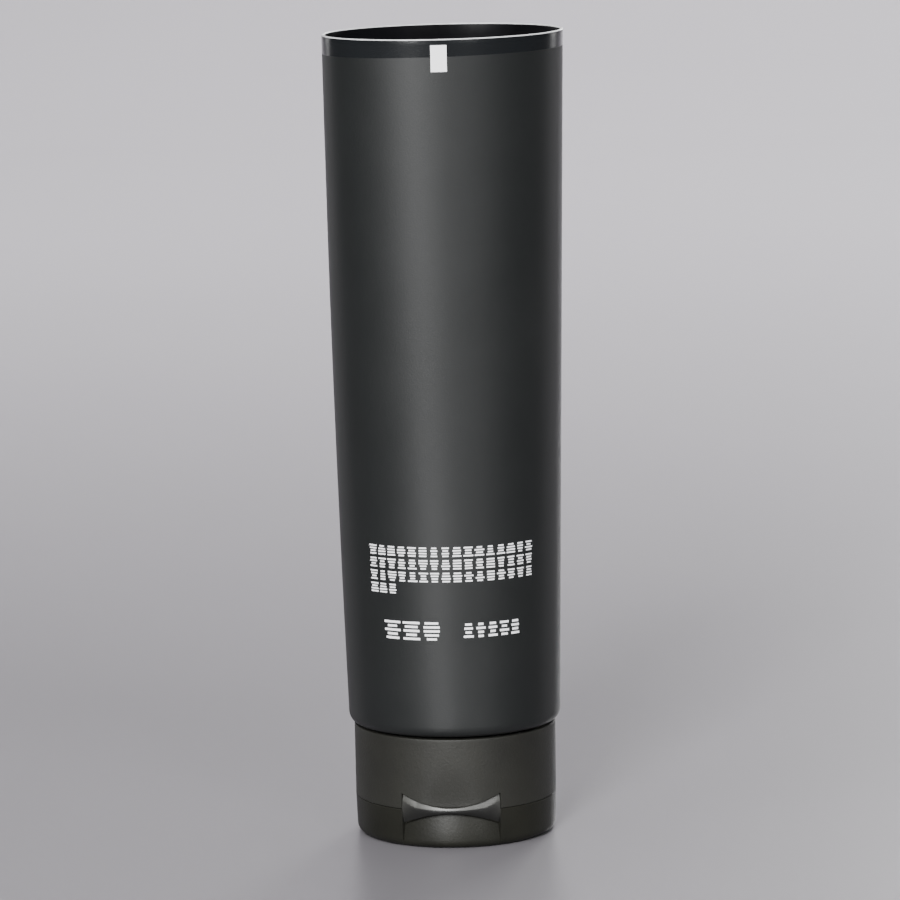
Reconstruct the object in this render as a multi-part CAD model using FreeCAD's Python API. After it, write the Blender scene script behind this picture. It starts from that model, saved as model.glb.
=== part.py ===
import FreeCAD, Part
import math
import os

# Squeeze tube with a screw-on flip-top cap, standing on its closed cap.
# Millimetres, +Z up. The origin is the centre of the lid's flat face, on the
# surface that the tube stands on. The cap's thumb notch faces -Y and its
# living hinge is at +Y. The tube's unsealed mouth is at the top.

V = FreeCAD.Vector
UP = V(0, 0, 1)

# ---- driving dimensions -------------------------------------------------
TOTAL_H = 151.3            # floor to the cut mouth of the sleeve
SLEEVE_R = 20.0            # the round end of the sleeve
SLEEVE_WALL = 0.5
MOUTH_LONG_R = 22.7        # half the mouth's long axis
MOUTH_YAW = 16.9           # degrees from +X to the mouth's long axis
CORNER_H = 2.1             # height of the rounded corner at the shoulder
CORNER_IN = 1.5            # how far the corner turns in
STRAIGHT_H = 1.0           # round stretch above the corner
PRESS_STEPS = 5            # sections from the round end to the oval mouth
FLANGE_HOLE_R = 14.0       # hole in the sleeve's turned-in end

SEAM_Z = 7.3               # parting line between lid and base
SEAM_GAP = 0.08
CAP_TOP_Z = 20.9           # open end of the cap's skirt
CAP_GAP = 0.45             # between the skirt's end and the tube
LID_FOOT_R = 18.75         # outer radius of the lid just above its rounded foot
LID_FOOT_ROUND = 1.7
SEAM_R = 18.95             # outer radius at the parting line
SKIRT_R = 19.0             # outer radius at the skirt's open end
CAP_WALL = 1.45
EDGE_ROUND = 0.18          # broken edges along the parting line
FRONT_WALL_Y = -14.4       # inner face of the base's thick front wall
UNDER_DECK_R = 17.2        # bore of the base below its deck

NOTCH_HALF_W = 9.2         # half width of the thumb notch
LEDGE_RISE = 0.5           # top of the lid's tab above the seam, at its middle
HORN_RISE = 2.9            # and at its ends
LAND_DROP_MID = 0.6        # lower edge of the tab below the seam, at its middle
LAND_DROP_END = 2.9        # and at its ends
NOTCH_PLAY = 0.12
TAB_T = 1.2                # thickness of the raised tab
TAB_ROOT_Z = 5.6           # where the tab grows out of the lid's wall
TAB_ROUND = 0.8            # rounding along the tab's upper edge
SCOOP_FOOT_Z = 1.6         # where the scoop runs out to the lid's surface
SCOOP_DEPTH = 1.3          # depth of the scoop under the land
SCOOP_LIP = 0.1            # how far the scoop's foot lies inside the parting radius
SCOOP_RUN_OUT = 0.4        # reach of the scoop below its foot
SCOOP_CENTRE_Y = -2.0      # the scoop is a cone about this line
SCOOP_WALL = 1.3
DISH_DEPTH = 0.9           # flat thumb dish in the base above the seam
DISH_TOP_Z = 15.5

HINGE_Y = 17.2             # flat at the back that carries the living hinge
HINGE_FLAT_TOP_Z = 12.6
HINGE_WALL_TOP_Z = 13.8    # top of the thick wall behind the flat
STRAP_T = 0.35
STRAP_X = (4.3, 7.1)       # near and far edge of each film strap
STRAP_HALF_H = 1.7
SPRING_HALF_W = 2.6
SPRING_HALF_H = 3.4
SPRING_T = 0.6
SPRING_SEAT_H = 0.9        # length of strip that is rooted in the wall at each end
FOLD_R = 2.0               # groove along the inside of the strip's fold
FOLD_DEPTH = 0.25
WINDOW_MARGIN = 0.5
WINDOW_DEPTH = 0.35        # clearance behind the strip

DECK_LOW_Z = 7.6
DECK_T = 1.4
COLLAR_R = 16.9            # closing collar that the lid snaps over
COLLAR_T = 0.9
COLLAR_LOW_Z = 5.7
COLLAR_GAP_HALF_W = 11.4   # the collar is left out behind the thumb notch
COLLAR_BACK_GAP = 0.5      # and this far in front of the wall behind the hinge
BEAD_H = 0.15              # snap bead round the collar
BEAD_LEAD_IN = 0.2
BEAD_LOW = 0.3             # heights on the collar where the bead starts,
BEAD_PEAK = 0.7            # stands out most
BEAD_HIGH = 1.1            # and ends
SPOUT_R = 3.5
ORIFICE_R = 1.9
ORIFICE_FLARE = 1.0        # funnel from the deck into the spout
SPOUT_LOW_Z = 4.6
SPOUT_CHAMFER = 0.3
LID_FLOOR = 1.4
LID_WALL = 1.6
PLUG_R = 1.6
PLUG_TOP_Z = 6.2
PLUG_FOOT_R = 2.1
PLUG_FOOT_H = 1.5
PLUG_TIP_R = 1.2
PLUG_TIP_H = 0.6
LID_RING_R = 3.95
LID_RING_T = 0.8
LID_RING_TOP_Z = 6.4
LID_RING_CHAMFER = 0.2
LID_RING_LEAD_R = 0.25     # lead-in on the inside, towards the spout
LID_RING_LEAD_H = 0.3

PITCH = 3.0                # right-hand screw thread
NECK_ROOT_R = 8.0
NECK_BORE_R = 6.2
THREAD_H = 1.0             # radial height of each ridge
THREAD_BASE = 1.5          # axial width of a ridge at its root
THREAD_TIP = 0.7
THREAD_PLAY = 0.25         # radial play between neck and cap
THREAD_SINK = 0.3          # how far a ridge is rooted in its wall
SOCKET_T = 1.35
SOCKET_TOP_Z = 19.4
NECK_LOW_Z = 9.85
THREAD_START = 1.5         # from the neck's end to the middle of the first ridge
NECK_TURNS = 2.4
SOCKET_TURNS = 1.7
HEAD_DISC_T = 1.2          # thickness of the tube's shoulder disc
HEAD_FUNNEL_R = 2.5        # shallow funnel from the disc into the neck
HEAD_FUNNEL_H = 1.0
SEAL_T = 0.7
SEAL_PLAY = 0.1
SEAL_LIFT = 0.05           # between the liner and the deck
RIBS = 8
RIB_T = 1.0
RIB_TOP_Z = 14.5

# ---- derived ------------------------------------------------------------
LID_TOP_Z = SEAM_Z - SEAM_GAP / 2
BASE_LOW_Z = SEAM_Z + SEAM_GAP / 2
DECK_TOP_Z = DECK_LOW_Z + DECK_T
TUBE_LOW_Z = CAP_TOP_Z + CAP_GAP
SOCKET_BORE_R = NECK_ROOT_R + THREAD_H + THREAD_PLAY
LID_BORE_R = SEAM_R - LID_WALL
FAR = 60.0                 # larger than any part of the cap
OVER = 1.0                 # how far cutters run past what they cut


# ---- helpers ------------------------------------------------------------
def box(x0, x1, y0, y1, z0, z1):
    return Part.makeBox(x1 - x0, y1 - y0, z1 - z0, V(x0, y0, z0))


def cylinder(radius, z0, z1, x=0.0, y=0.0):
    return Part.makeCylinder(radius, z1 - z0, V(x, y, z0), UP)


def ring(outer_r, inner_r, z0, z1):
    return cylinder(outer_r, z0, z1).cut(cylinder(inner_r, z0 - OVER, z1 + OVER))


def revolve(edges):
    """Solid of revolution about Z from a closed loop of edges in the XZ plane."""
    face = Part.Face(Part.Wire(edges))
    return face.revolve(V(0, 0, 0), UP, 360)


def line(a, b):
    return Part.LineSegment(V(a[0], 0, a[1]), V(b[0], 0, b[1])).toShape()


def polygon(points):
    """Closed loop of straight edges through (r, z) points."""
    count = len(points)
    return [line(points[i], points[(i + 1) % count]) for i in range(count)]


def quarter(centre, radius_r, radius_z, start_deg):
    """Quarter of an ellipse in the XZ plane, from start_deg on, as one edge."""
    angles = [math.radians(start_deg + 15 * i) for i in range(7)]
    points = [V(centre[0] + radius_r * math.cos(a), 0,
                centre[1] + radius_z * math.sin(a)) for a in angles]
    curve = Part.BSplineCurve()
    curve.interpolate(points)
    return curve.toShape()


def oval_wire(long_r, short_r, z):
    edge = Part.Ellipse(V(0, 0, z), long_r, short_r).toShape()
    wire = Part.Wire([edge])
    wire.rotate(V(0, 0, 0), UP, MOUTH_YAW)
    return wire


def short_radius(long_r):
    """Short half-axis of the oval that keeps the round sleeve's perimeter."""
    low, high = SLEEVE_R * 0.5, SLEEVE_R
    while high - low > 1e-4:
        mid = (low + high) / 2
        h = ((long_r - mid) / (long_r + mid)) ** 2
        around = math.pi * (long_r + mid) * (1 + 3 * h / (10 + math.sqrt(4 - 3 * h)))
        if around > 2 * math.pi * SLEEVE_R:
            high = mid
        else:
            low = mid
    return (low + high) / 2


def screw_ridge(root_r, tip_r, z_start, turns):
    """Right-hand helical ridge from root_r to tip_r, rooted a little in its wall."""
    outward = 1 if tip_r > root_r else -1
    sunk_r = root_r - outward * THREAD_SINK
    helix = Part.makeLongHelix(PITCH, PITCH * turns, root_r)
    half_root = THREAD_BASE / 2
    half_tip = THREAD_TIP / 2
    corners = [V(sunk_r, 0, -half_root), V(root_r, 0, -half_root),
               V(tip_r, 0, -half_tip), V(tip_r, 0, half_tip),
               V(root_r, 0, half_root), V(sunk_r, 0, half_root)]
    profile = Part.makePolygon(corners + corners[:1])
    ridge = Part.Wire(helix.Edges).makePipeShell([profile], True, True)
    ridge.translate(V(0, 0, z_start))
    return ridge


def notch_prism(half_w, low_mid, low_end, high_mid, high_end):
    """Block in front of the cap, bounded above and below by arcs across X."""
    y = -FAR
    a = V(-half_w, y, low_end)
    b = V(0, y, low_mid)
    c = V(half_w, y, low_end)
    d = V(half_w, y, high_end)
    e = V(0, y, high_mid)
    f = V(-half_w, y, high_end)
    lower = Part.LineSegment(a, c).toShape()
    if low_mid != low_end:
        lower = Part.Arc(a, b, c).toShape()
    upper = Part.LineSegment(d, f).toShape()
    if high_mid != high_end:
        upper = Part.Arc(d, e, f).toShape()
    right = Part.LineSegment(c, d).toShape()
    left = Part.LineSegment(f, a).toShape()
    face = Part.Face(Part.Wire([lower, right, upper, left]))
    return face.extrude(V(0, FAR, 0))


def scoop_cone(inset):
    """Cone that the scoop's surface lies on, shrunk by inset."""
    land_z = SEAM_Z - LAND_DROP_MID
    foot_r = SEAM_R + SCOOP_CENTRE_Y - inset - SCOOP_LIP
    land_r = foot_r - SCOOP_DEPTH
    slope = (land_r - foot_r) / (land_z - SCOOP_FOOT_Z)
    low_z = -SEAM_Z
    high_z = 2 * SEAM_Z
    low_r = foot_r + slope * (low_z - SCOOP_FOOT_Z)
    high_r = foot_r + slope * (high_z - SCOOP_FOOT_Z)
    return Part.makeCone(low_r, high_r, high_z - low_z, V(0, SCOOP_CENTRE_Y, low_z), UP)


# ---- tube ---------------------------------------------------------------
def sleeve_skin(inset):
    """Closed solid of the sleeve's outside, shrunk inward by inset."""
    corner_z = TUBE_LOW_Z + CORNER_H
    press_z = corner_z + STRAIGHT_H
    low_z = TUBE_LOW_Z + inset
    outer_r = SLEEVE_R - inset
    corner_r = outer_r - CORNER_IN
    edges = [line((0, low_z), (corner_r, low_z)),
             quarter((corner_r, corner_z), CORNER_IN, corner_z - low_z, 270),
             line((outer_r, corner_z), (outer_r, press_z)),
             line((outer_r, press_z), (0, press_z)),
             line((0, press_z), (0, low_z))]
    foot = revolve(edges)
    round_end = Part.Wire([Part.Circle(V(0, 0, press_z), UP, outer_r).toShape()])
    round_end.rotate(V(0, 0, 0), UP, MOUTH_YAW)
    wires = [round_end]
    for i in range(1, PRESS_STEPS + 1):
        share = i / PRESS_STEPS
        long_r = SLEEVE_R + (MOUTH_LONG_R - SLEEVE_R) * share
        z = press_z + (TOTAL_H - press_z) * share
        wires.append(oval_wire(long_r - inset, short_radius(long_r) - inset, z))
    return foot.fuse(Part.makeLoft(wires, True, False))


def tube_sleeve():
    outside = sleeve_skin(0.0)
    inside = sleeve_skin(SLEEVE_WALL)
    hole = cylinder(FLANGE_HOLE_R, TUBE_LOW_Z - OVER, TUBE_LOW_Z + SLEEVE_WALL + OVER)
    return outside.cut(inside).cut(hole)


def tube_head():
    seat_z = TUBE_LOW_Z + SLEEVE_WALL
    disc_r = SLEEVE_R - SLEEVE_WALL - CORNER_IN
    outline = [(NECK_BORE_R, NECK_LOW_Z),
               (NECK_ROOT_R, NECK_LOW_Z),
               (NECK_ROOT_R, TUBE_LOW_Z),
               (FLANGE_HOLE_R, TUBE_LOW_Z),
               (FLANGE_HOLE_R, seat_z),
               (disc_r, seat_z),
               (disc_r, seat_z + HEAD_DISC_T),
               (NECK_BORE_R + HEAD_FUNNEL_R, seat_z + HEAD_DISC_T),
               (NECK_BORE_R, seat_z + HEAD_DISC_T - HEAD_FUNNEL_H)]
    head = revolve(polygon(outline))
    ridge = screw_ridge(NECK_ROOT_R, NECK_ROOT_R + THREAD_H, NECK_LOW_Z + THREAD_START, NECK_TURNS)
    return head.fuse(ridge)


def neck_seal_ring():
    low_z = DECK_TOP_Z + SEAL_LIFT
    return ring(NECK_ROOT_R + SEAL_PLAY, NECK_BORE_R + SEAL_PLAY, low_z, low_z + SEAL_T)


# ---- living hinge -------------------------------------------------------
def hinge_strap(side):
    near, far = STRAP_X
    x0, x1 = (near, far) if side > 0 else (-far, -near)
    return box(x0, x1, HINGE_Y - STRAP_T, HINGE_Y, SEAM_Z - STRAP_HALF_H, SEAM_Z + STRAP_HALF_H)


def hinge_spring():
    strip = box(-SPRING_HALF_W, SPRING_HALF_W, HINGE_Y - SPRING_T, HINGE_Y,
                SEAM_Z - SPRING_HALF_H, SEAM_Z + SPRING_HALF_H)
    groove = cylinder(FOLD_R, -FAR, FAR)
    groove.rotate(V(0, 0, 0), V(0, 1, 0), 90)
    groove.translate(V(0, HINGE_Y - SPRING_T + FOLD_DEPTH - FOLD_R, SEAM_Z))
    return strip.cut(groove)


def hinge_window():
    """Clearance behind and beside the spring strip."""
    half_w = SPRING_HALF_W + WINDOW_MARGIN
    half_h = SPRING_HALF_H - SPRING_SEAT_H
    return box(-half_w, half_w, HINGE_Y - SPRING_T - WINDOW_DEPTH, FAR, SEAM_Z - half_h, SEAM_Z + half_h)


def hinge_pockets():
    seat = box(-SPRING_HALF_W, SPRING_HALF_W, HINGE_Y - SPRING_T, FAR,
               SEAM_Z - SPRING_HALF_H, SEAM_Z + SPRING_HALF_H)
    return [hinge_strap(1), hinge_strap(-1), seat, hinge_window()]


# ---- cap base -----------------------------------------------------------
def base_hollow():
    hollow = cylinder(SKIRT_R - CAP_WALL, DECK_TOP_Z, CAP_TOP_Z + OVER)
    front = box(-FAR, FAR, -FAR, FRONT_WALL_Y, 0, FAR)
    back = box(-FAR, FAR, HINGE_Y - CAP_WALL, FAR, 0, HINGE_WALL_TOP_Z)
    return hollow.cut(front).cut(back)


def cap_base():
    edge = EDGE_ROUND
    outline = [(0, BASE_LOW_Z), (SEAM_R - edge, BASE_LOW_Z), (SEAM_R, BASE_LOW_Z + edge),
               (SKIRT_R, CAP_TOP_Z - edge), (SKIRT_R - edge, CAP_TOP_Z), (0, CAP_TOP_Z)]
    base = revolve(polygon(outline))
    base = base.cut(base_hollow())
    under_deck = cylinder(UNDER_DECK_R, 0, DECK_LOW_Z)
    base = base.cut(under_deck.cut(box(-FAR, FAR, HINGE_Y - CAP_WALL, FAR, 0, FAR)))
    base = base.cut(box(-FAR, FAR, HINGE_Y, FAR, 0, HINGE_FLAT_TOP_Z))
    dish = box(-FAR, FAR, -FAR, 0, -FAR, 0)
    dish.translate(V(0, 0, FAR / 2))
    tilt = math.degrees(math.atan2(DISH_DEPTH, DISH_TOP_Z - SEAM_Z))
    dish.rotate(V(0, 0, 0), V(1, 0, 0), -tilt)
    dish.translate(V(0, -(SEAM_R + SKIRT_R) / 2, DISH_TOP_Z))
    base = base.cut(dish)
    recess = notch_prism(NOTCH_HALF_W + NOTCH_PLAY, 0, 0, SEAM_Z + LEDGE_RISE + NOTCH_PLAY,
                         SEAM_Z + HORN_RISE + NOTCH_PLAY)
    keep = cylinder(SEAM_R - TAB_T - NOTCH_PLAY, 0, FAR)
    base = base.cut(recess.cut(keep))
    base = base.cut(cylinder(SPOUT_R, 0, DECK_TOP_Z + OVER))
    for pocket in hinge_pockets():
        base = base.cut(pocket)
    return base


def cap_collar():
    """Closing collar under the deck, with a snap bead round its outside."""
    low = COLLAR_LOW_Z
    inner = COLLAR_R - COLLAR_T
    plain = COLLAR_R - BEAD_H
    outline = [(inner, DECK_LOW_Z), (inner, low), (plain - BEAD_LEAD_IN, low),
               (plain, low + BEAD_LOW), (COLLAR_R, low + BEAD_PEAK),
               (plain, low + BEAD_HIGH), (plain, DECK_LOW_Z)]
    collar = revolve(polygon(outline))
    front_gap = box(-COLLAR_GAP_HALF_W, COLLAR_GAP_HALF_W, -FAR, 0, 0, FAR)
    back_gap = box(-FAR, FAR, HINGE_Y - CAP_WALL - COLLAR_BACK_GAP, FAR, 0, FAR)
    return collar.cut(front_gap).cut(back_gap)


def cap_socket():
    wall = ring(SOCKET_BORE_R + SOCKET_T, SOCKET_BORE_R, DECK_TOP_Z, SOCKET_TOP_Z)
    z_start = NECK_LOW_Z + THREAD_START + PITCH / 2
    ridge = screw_ridge(SOCKET_BORE_R, SOCKET_BORE_R - THREAD_H, z_start, SOCKET_TURNS)
    return wall.fuse(ridge)


def cap_spout():
    tip = SPOUT_LOW_Z
    outline = [(ORIFICE_R, tip), (SPOUT_R - SPOUT_CHAMFER, tip), (SPOUT_R, tip + SPOUT_CHAMFER),
               (SPOUT_R, DECK_TOP_Z), (ORIFICE_R + ORIFICE_FLARE, DECK_TOP_Z),
               (ORIFICE_R, DECK_TOP_Z - ORIFICE_FLARE)]
    return revolve(polygon(outline))


def cap_ribs():
    room = base_hollow().cut(cylinder(SOCKET_BORE_R + SOCKET_T, 0, FAR))
    ribs = []
    for i in range(RIBS):
        rib = box(0, SKIRT_R, -RIB_T / 2, RIB_T / 2, DECK_TOP_Z, RIB_TOP_Z)
        rib.rotate(V(0, 0, 0), UP, (i + 0.5) * 360 / RIBS)
        ribs.append(rib.common(room))
    return Part.makeCompound(ribs)


# ---- lid ----------------------------------------------------------------
def lid_outside():
    rounding = LID_FOOT_ROUND
    edge = EDGE_ROUND
    flat_r = LID_FOOT_R - rounding
    edges = [line((0, 0), (flat_r, 0)),
             quarter((flat_r, rounding), rounding, rounding, 270),
             line((LID_FOOT_R, rounding), (SEAM_R, LID_TOP_Z - edge)),
             line((SEAM_R, LID_TOP_Z - edge), (SEAM_R - edge, LID_TOP_Z)),
             line((SEAM_R - edge, LID_TOP_Z), (0, LID_TOP_Z)),
             line((0, LID_TOP_Z), (0, 0))]
    return revolve(edges)


def raised_tab():
    """Bow-tie tab with its upper outer edge rounded over."""
    outer = ring(SEAM_R, SEAM_R - TAB_T, TAB_ROOT_Z, SEAM_Z + HORN_RISE + OVER)
    shape = notch_prism(NOTCH_HALF_W, TAB_ROOT_Z, TAB_ROOT_Z, SEAM_Z + LEDGE_RISE, SEAM_Z + HORN_RISE)
    tab = outer.common(shape).removeSplitter()
    chosen = []
    for edge in tab.Edges:
        middle = edge.valueAt((edge.FirstParameter + edge.LastParameter) / 2)
        on_outside = math.hypot(middle.x, middle.y) > SEAM_R - TAB_T / 2
        if on_outside and middle.z > SEAM_Z and edge.BoundBox.XLength > NOTCH_HALF_W:
            chosen.append(edge)
    return tab.makeFillet(TAB_ROUND, chosen)


def lid_shell():
    lid = lid_outside()
    seat = notch_prism(NOTCH_HALF_W, TAB_ROOT_Z, TAB_ROOT_Z, FAR, FAR)
    lid = lid.cut(seat.cut(cylinder(SEAM_R - TAB_T, 0, FAR)))
    lid = lid.fuse(raised_tab())
    scoop_low_z = SCOOP_FOOT_Z - SCOOP_RUN_OUT
    scoop = notch_prism(NOTCH_HALF_W, scoop_low_z, scoop_low_z, SEAM_Z - LAND_DROP_MID,
                        SEAM_Z - LAND_DROP_END)
    lid = lid.cut(scoop.cut(scoop_cone(0.0)))
    front_block = box(-NOTCH_HALF_W - SCOOP_WALL, NOTCH_HALF_W + SCOOP_WALL, -FAR, 0, -OVER, FAR)
    front_block = front_block.cut(scoop_cone(SCOOP_WALL))
    hollow = cylinder(LID_BORE_R, LID_FLOOR, FAR).cut(front_block)
    hollow = hollow.cut(box(-FAR, FAR, HINGE_Y - CAP_WALL, FAR, 0, FAR))
    above = box(-FAR, FAR, -FAR, -LID_BORE_R / 2, LID_TOP_Z, FAR)
    lid = lid.cut(hollow.cut(above))
    lid = lid.cut(box(-FAR, FAR, HINGE_Y, FAR, -OVER, FAR))
    for pocket in hinge_pockets():
        lid = lid.cut(pocket)
    return lid


def lid_plug():
    outline = [(0, LID_FLOOR), (PLUG_FOOT_R, LID_FLOOR), (PLUG_R, LID_FLOOR + PLUG_FOOT_H),
               (PLUG_R, PLUG_TOP_Z - PLUG_TIP_H), (PLUG_TIP_R, PLUG_TOP_Z), (0, PLUG_TOP_Z)]
    return revolve(polygon(outline))


def lid_seal_ring():
    top = LID_RING_TOP_Z
    outer = LID_RING_R + LID_RING_T
    outline = [(LID_RING_R, LID_FLOOR), (outer, LID_FLOOR), (outer, top - LID_RING_CHAMFER),
               (outer - LID_RING_CHAMFER, top), (LID_RING_R + LID_RING_LEAD_R, top),
               (LID_RING_R, top - LID_RING_LEAD_H)]
    return revolve(polygon(outline))


# ---- write --------------------------------------------------------------
PIECES = {
    "tube_sleeve": tube_sleeve,
    "tube_head": tube_head,
    "neck_seal_ring": neck_seal_ring,
    "cap_base": cap_base,
    "cap_collar": cap_collar,
    "cap_socket": cap_socket,
    "cap_spout": cap_spout,
    "cap_ribs": cap_ribs,
    "hinge_strap_left": lambda: hinge_strap(-1),
    "hinge_strap_right": lambda: hinge_strap(1),
    "hinge_spring": hinge_spring,
    "lid_shell": lid_shell,
    "lid_plug": lid_plug,
    "lid_seal_ring": lid_seal_ring,
}

os.makedirs("parts", exist_ok=True)
for name, make in PIECES.items():
    piece = make()
    size = piece.BoundBox
    print(name, "solids", len(piece.Solids), "valid", piece.isValid(), "volume", round(piece.Volume, 1),
          "z", round(size.ZMin, 2), round(size.ZMax, 2))
    piece.exportStep("parts/" + name + ".step")
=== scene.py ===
# Looks of a soft black squeeze tube that stands on its closed flip-top cap.
# Metres, +Z up, in the frame of the CAD model. The cap's thumb notch faces -Y.
import math

import bmesh
import bpy
from mathutils import Matrix, Vector


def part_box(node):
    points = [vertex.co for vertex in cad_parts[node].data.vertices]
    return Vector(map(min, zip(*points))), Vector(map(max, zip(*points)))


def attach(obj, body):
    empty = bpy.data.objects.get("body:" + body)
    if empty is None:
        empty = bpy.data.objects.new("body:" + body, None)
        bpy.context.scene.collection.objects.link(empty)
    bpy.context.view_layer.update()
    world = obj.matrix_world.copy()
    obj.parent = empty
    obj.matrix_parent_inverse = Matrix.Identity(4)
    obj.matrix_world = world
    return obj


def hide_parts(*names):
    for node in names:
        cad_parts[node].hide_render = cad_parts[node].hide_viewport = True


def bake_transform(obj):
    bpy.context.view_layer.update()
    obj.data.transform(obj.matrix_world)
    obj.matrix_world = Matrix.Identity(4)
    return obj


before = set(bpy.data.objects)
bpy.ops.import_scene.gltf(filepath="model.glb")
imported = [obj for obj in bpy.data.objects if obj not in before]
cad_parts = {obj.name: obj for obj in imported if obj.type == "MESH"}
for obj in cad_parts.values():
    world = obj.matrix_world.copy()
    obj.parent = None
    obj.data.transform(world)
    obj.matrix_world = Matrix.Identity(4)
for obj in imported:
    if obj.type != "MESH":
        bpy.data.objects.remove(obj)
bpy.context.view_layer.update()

MM = 0.001

# ---- places taken from the frame ----------------------------------------
sleeve_low, sleeve_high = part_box("tube_sleeve")
base_low, base_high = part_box("cap_base")
lid_low, lid_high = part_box("lid_shell")
collar_low, collar_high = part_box("cap_collar")
spout_low, spout_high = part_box("cap_spout")
strap_low, strap_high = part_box("hinge_strap_right")
spring_low, spring_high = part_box("hinge_spring")

SHOULDER_Z = sleeve_low.z
MOUTH_Z = sleeve_high.z
SKIRT_TOP_Z = base_high.z
SKIRT_R = base_high.x
BASE_LOW_Z = base_low.z
DECK_LOW_Z = collar_high.z
DECK_TOP_Z = spout_high.z
SPOUT_R = spout_high.x
SEAM_Z = (strap_low.z + strap_high.z) / 2
LID_TOP_Z = 2 * SEAM_Z - BASE_LOW_Z
SEAM_R = lid_high.x
HINGE_Y = strap_high.y

# ---- sleeve -------------------------------------------------------------
SLEEVE_R = 20.0 * MM
SLEEVE_WALL = 0.5 * MM
MOUTH_LONG_R = 22.7 * MM
MOUTH_YAW = math.radians(16.9)
CORNER_H = 2.1 * MM
CORNER_IN = 1.5 * MM
FLANGE_HOLE_R = 14.0 * MM
SIDE_BULGE = 0.45 * MM      # the filled sleeve swells to one side
WALL_SLACK = 0.006          # unevenness of the thin wall at the mouth, as a share of its radius
RIM_ROUND = 0.2 * MM
# faces this far below the mouth take the pale cut-edge colour, mostly a painted highlight along the
# rim
CUT_EDGE_AND_HIGHLIGHT_H = 0.3 * MM
PRESS_FROM_Z = SHOULDER_Z + CORNER_H + 1.0 * MM
BARE_BAND_H = 3.3 * MM      # uncoated band below the mouth
BAND_TILT = 0.012           # the varnish stops along a slightly slanted line
BAND_FADE = 0.05 * MM       # half the width over which it thins out
SLEEVE_COLUMNS = 288

# ---- cap ----------------------------------------------------------------
CAP_WALL = 1.45 * MM
LID_WALL = 1.6 * MM
LID_BORE_R = SEAM_R - LID_WALL
LID_FOOT_R = 18.75 * MM
LID_FOOT_ROUND = 1.7 * MM
LID_FLOOR = 1.4 * MM
EDGE_ROUND = 0.2 * MM
BASE_EDGE_ROUND = 0.1 * MM  # the base's lower edge is sharper than the lid's upper one
LEDGE_PLAY = 0.05 * MM
SIDE_PLAY = 0.06 * MM
SCOOP_EASE = 0.3 * MM
DISH_EASE = 0.12 * MM
NOTCH_HALF_W = 9.2 * MM
NOTCH_PLAY = 0.12 * MM
NOTCH_STEP = 0.05 * MM      # how sharply the tab's ends are cut
LEDGE_RISE = 0.5 * MM       # top of the lid's tab above the seam, at its middle
HORN_RISE = 2.9 * MM        # and at its ends
LAND_DROP_MID = 0.6 * MM    # lower edge of the tab below the seam, at its middle
LAND_DROP_END = 2.9 * MM    # and at its ends
TAB_T = 1.2 * MM
TAB_CROWN_SHARE = 0.37      # part of the tab's height that leans back towards its top
TAB_CROWN_MOST = 1.25 * MM  # and the most that it takes
TAB_CROWN_LEAN = 20         # degrees
TAB_END_LEAN = 9            # degrees more at the very ends
TAB_END_POWER = 8           # how suddenly the face changes towards the ends
TAB_PAINTED_LIGHT_POWER = 6        # and how suddenly the painted highlight reaches down there
TAB_END_PAINTED_LIGHT = 0.7        # painted highlight just below the waist at the very ends
TAB_TUCK_LEAN = 9           # mean degrees that its lower part tucks in at its ends
TAB_TUCK_MORE = 12          # and how much more at its middle
TAB_TOP_ROUND = 0.1 * MM
TAB_EASE = 0.04 * MM        # softness of the crease along the tab's waist, at its middle
TAB_EASE_END = 0.3 * MM     # and at its ends, where it fades out
SCOOP_FOOT_Z = 1.6 * MM
SCOOP_DEPTH = 1.3 * MM
SCOOP_CENTRE = 2.0 * MM     # the scoop is a cone about a line this far in front
SCOOP_SETBACK = 0.1 * MM    # of the scoop's foot behind the tab's face
SCOOP_WALL = 1.3 * MM
DISH_DEPTH = 0.9 * MM
DISH_TOP_Z = 15.5 * MM
TOE_FLARE = 0.12 * MM       # the dish turns out again just above the tab
TOE_FLARE_H = 0.8 * MM
HINGE_FLAT_TOP_Z = 12.6 * MM
HINGE_WALL_TOP_Z = 13.8 * MM
FRONT_WALL_Y = 14.4 * MM    # inner face of the base's thick front wall
UNDER_DECK_R = 17.2 * MM    # bore of the base below its deck
WINDOW_MARGIN = 0.5 * MM    # of the window behind the spring strip, at each side
WINDOW_SHORT = 0.9 * MM     # the strip reaches past the window by this, above and below
WINDOW_DEPTH = 0.35 * MM
STRAP_DIP = 0.2 * MM        # how much thinner the hinge strips are along the fold
SPRING_DIP = 0.3 * MM
DIP_INSIDE = 0.75           # share of that taken from the inner face
FOLD_SHARPNESS = 3.2
FAR = 40 * MM               # clear of the whole cap


# ---- mesh helpers -------------------------------------------------------
def new_piece(name, mesh):
    piece = bpy.data.objects.new(name, mesh)
    bpy.context.scene.collection.objects.link(piece)
    return piece


def mesh_from(bm, name):
    mesh = bpy.data.meshes.new(name)
    bm.to_mesh(mesh)
    bm.free()
    return mesh


def finish_mesh(mesh, sharp_deg=32):
    """Merges doubled points, turns faces outward and keeps only real corners sharp."""
    bm = bmesh.new()
    bm.from_mesh(mesh)
    bmesh.ops.remove_doubles(bm, verts=bm.verts, dist=2e-7)
    bmesh.ops.dissolve_degenerate(bm, edges=bm.edges, dist=1e-8)
    bmesh.ops.recalc_face_normals(bm, faces=bm.faces)
    for face in bm.faces:
        face.smooth = True
    for edge in bm.edges:
        bent = edge.calc_face_angle(0.0) if len(edge.link_faces) == 2 else 0.0
        edge.smooth = bent < math.radians(sharp_deg)
    bm.to_mesh(mesh)
    bm.free()


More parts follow.
